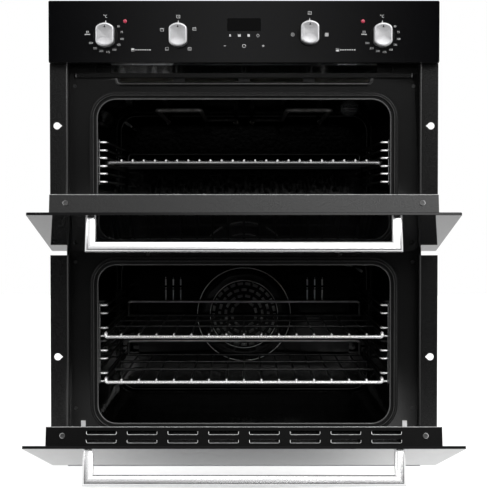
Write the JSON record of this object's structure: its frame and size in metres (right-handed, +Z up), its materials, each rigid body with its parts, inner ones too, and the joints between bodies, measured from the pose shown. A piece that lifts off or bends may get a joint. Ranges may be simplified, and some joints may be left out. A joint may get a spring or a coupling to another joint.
{
  "type": "built-under double oven",
  "caption": "Built-under double oven with drop-down glass doors on bar handles, wire shelves on side racks, a fan behind a grille, and rotary controls above.",
  "frame": {"origin": "centre of the underside of the body that goes into the cabinet: mid width, mid depth behind the cabinet's front plane, on the base's lower face", "axes": "+X to the right seen from the front, +Y back into the cabinet, +Z up; the doors and controls face -Y"},
  "size_m": [0.597, 0.8391, 0.717],
  "materials": {
    "zinc_steel": "galvanised sheet steel",
    "black_enamel_panel": "satin black enamel",
    "black_trim": "satin black paint",
    "cavity_enamel": "glossy black vitreous enamel",
    "gasket_rubber": "satin silicone tube seal",
    "mineral_wool": "matt fibre blanket",
    "element_steel": "dull oxidised steel tube",
    "fan_cover_enamel": "glossy black enamel",
    "motor_steel": "pressed steel",
    "ceramic": "matt ceramic",
    "lamp_glass": "clear ribbed glass",
    "chromed_wire": "chromed steel wire",
    "black_glass": "glossy black-printed glass",
    "inner_glass": "tinted heat-reflecting glass",
    "bezel_plastic": "gloss black moulding",
    "control_metal": "plated steel case",
    "switch_plastic": "moulded plastic",
    "circuit_green": "circuit board and plastic frame",
    "red_lens": "red moulded lens and dark display window",
    "knob_silver": "satin silver",
    "brass_spindle": "turned brass",
    "handle_aluminium": "bright satin anodised",
    "cap_grey": "satin dark grey",
    "cap_black": "satin black",
    "hinge_zinc": "zinc-plated steel",
    "screw_steel": "zinc-plated steel",
    "screw_black": "black-oxide steel",
    "printed_marks": "pale grey screen print on the control glass",
    "terminal_plastic": "black moulded plastic"
  },
  "bodies": {
    "oven_body": {"base_panel": "zinc_steel", "side_panel_left": "zinc_steel", "side_panel_right": "zinc_steel", "back_panel": "zinc_steel", "top_panel": "zinc_steel", "side_trim_left": "black_trim", "side_trim_right": "black_trim", "front_panel_upper": "black_enamel_panel", "front_panel_lower": "black_enamel_panel", "cavity_upper": "cavity_enamel", "cavity_lower": "cavity_enamel", "door_gaskets": "gasket_rubber", "insulation_blankets": "mineral_wool", "grill_element": "element_steel", "ring_element": "element_steel", "fan_cover": "fan_cover_enamel", "fan_motor": "motor_steel", "lamp_holders": "ceramic", "lamp_lenses": "lamp_glass", "side_racks_upper": "chromed_wire", "side_racks_lower": "chromed_wire", "control_panel": "black_glass", "panel_bracket": "black_trim", "knob_bezels": "bezel_plastic", "thermostats": "control_metal", "selector_switches": "switch_plastic", "timer_module": "circuit_green", "panel_lenses": "red_lens", "blower_housing": "zinc_steel", "air_duct": "black_trim", "terminal_box": "terminal_plastic", "hinge_receivers": "hinge_zinc", "frame_screws": "screw_black"},
    "upper_door": {"upper_door_outer_glass": "black_glass", "upper_door_frame": "black_trim", "upper_door_inner_glass": "inner_glass", "upper_door_handle": "handle_aluminium", "upper_door_end_cap": "cap_grey", "upper_door_hinges": "hinge_zinc", "upper_door_screws": "screw_steel"},
    "lower_door": {"lower_door_outer_glass": "black_glass", "lower_door_frame": "black_trim", "lower_door_inner_glass": "inner_glass", "lower_door_handle": "handle_aluminium", "lower_door_end_cap": "cap_black", "lower_door_hinges": "hinge_zinc", "lower_door_screws": "screw_steel"},
    "convection_fan": {"fan_impeller": "motor_steel"},
    "cooling_blower": {"blower_rotor": "motor_steel"},
    "upper_oven_shelf": {"upper_shelf": "chromed_wire"},
    "lower_oven_middle_shelf": {"middle_shelf": "chromed_wire"},
    "lower_oven_bottom_shelf": {"lower_shelf": "chromed_wire"},
    "upper_thermostat_control": {"upper_thermostat_knob": "knob_silver", "upper_thermostat_spindle": "brass_spindle"},
    "upper_selector_control": {"upper_selector_knob": "knob_silver", "upper_selector_spindle": "brass_spindle"},
    "lower_selector_control": {"lower_selector_knob": "knob_silver", "lower_selector_spindle": "brass_spindle"},
    "lower_thermostat_control": {"lower_thermostat_knob": "knob_silver", "lower_thermostat_spindle": "brass_spindle"}
  },
  "joints": [
    {"name": "upper_door_hinge", "type": "hinge", "parent": "oven_body", "child": "upper_door", "pos_m": [0, -0.267, 0.356], "axis": [1, 0, 0], "range_deg": [-78, 12]},
    {"name": "lower_door_hinge", "type": "hinge", "parent": "oven_body", "child": "lower_door", "pos_m": [0, -0.267, 0.023], "axis": [1, 0, 0], "range_deg": [-76, 14]},
    {"name": "upper_thermostat_turn", "type": "hinge", "parent": "oven_body", "child": "upper_thermostat_control", "pos_m": [-0.2105, -0.285, 0.664], "axis": [0, 1, 0], "range_deg": [0, 275]},
    {"name": "upper_selector_turn", "type": "hinge", "parent": "oven_body", "child": "upper_selector_control", "pos_m": [-0.1, -0.285, 0.664], "axis": [0, 1, 0], "continuous": true},
    {"name": "lower_selector_turn", "type": "hinge", "parent": "oven_body", "child": "lower_selector_control", "pos_m": [0.1, -0.285, 0.6675], "axis": [0, 1, 0], "range_deg": [-90, 90]},
    {"name": "lower_thermostat_turn", "type": "hinge", "parent": "oven_body", "child": "lower_thermostat_control", "pos_m": [0.2105, -0.285, 0.664], "axis": [0, 1, 0], "range_deg": [0, 275]},
    {"name": "convection_fan_spin", "type": "hinge", "parent": "oven_body", "child": "convection_fan", "pos_m": [0, 0.175, 0.208], "axis": [0, 1, 0], "continuous": true},
    {"name": "cooling_blower_spin", "type": "hinge", "parent": "oven_body", "child": "cooling_blower", "pos_m": [0, 0.1, 0.65], "axis": [1, 0, 0], "continuous": true},
    {"name": "upper_shelf_slide", "type": "slide", "parent": "oven_body", "child": "upper_oven_shelf", "axis": [0, -1, 0], "range_m": [0, 0.3]},
    {"name": "middle_shelf_slide", "type": "slide", "parent": "oven_body", "child": "lower_oven_middle_shelf", "axis": [0, -1, 0], "range_m": [0, 0.3]},
    {"name": "bottom_shelf_slide", "type": "slide", "parent": "oven_body", "child": "lower_oven_bottom_shelf", "axis": [0, -1, 0], "range_m": [0, 0.3]}
  ]
}
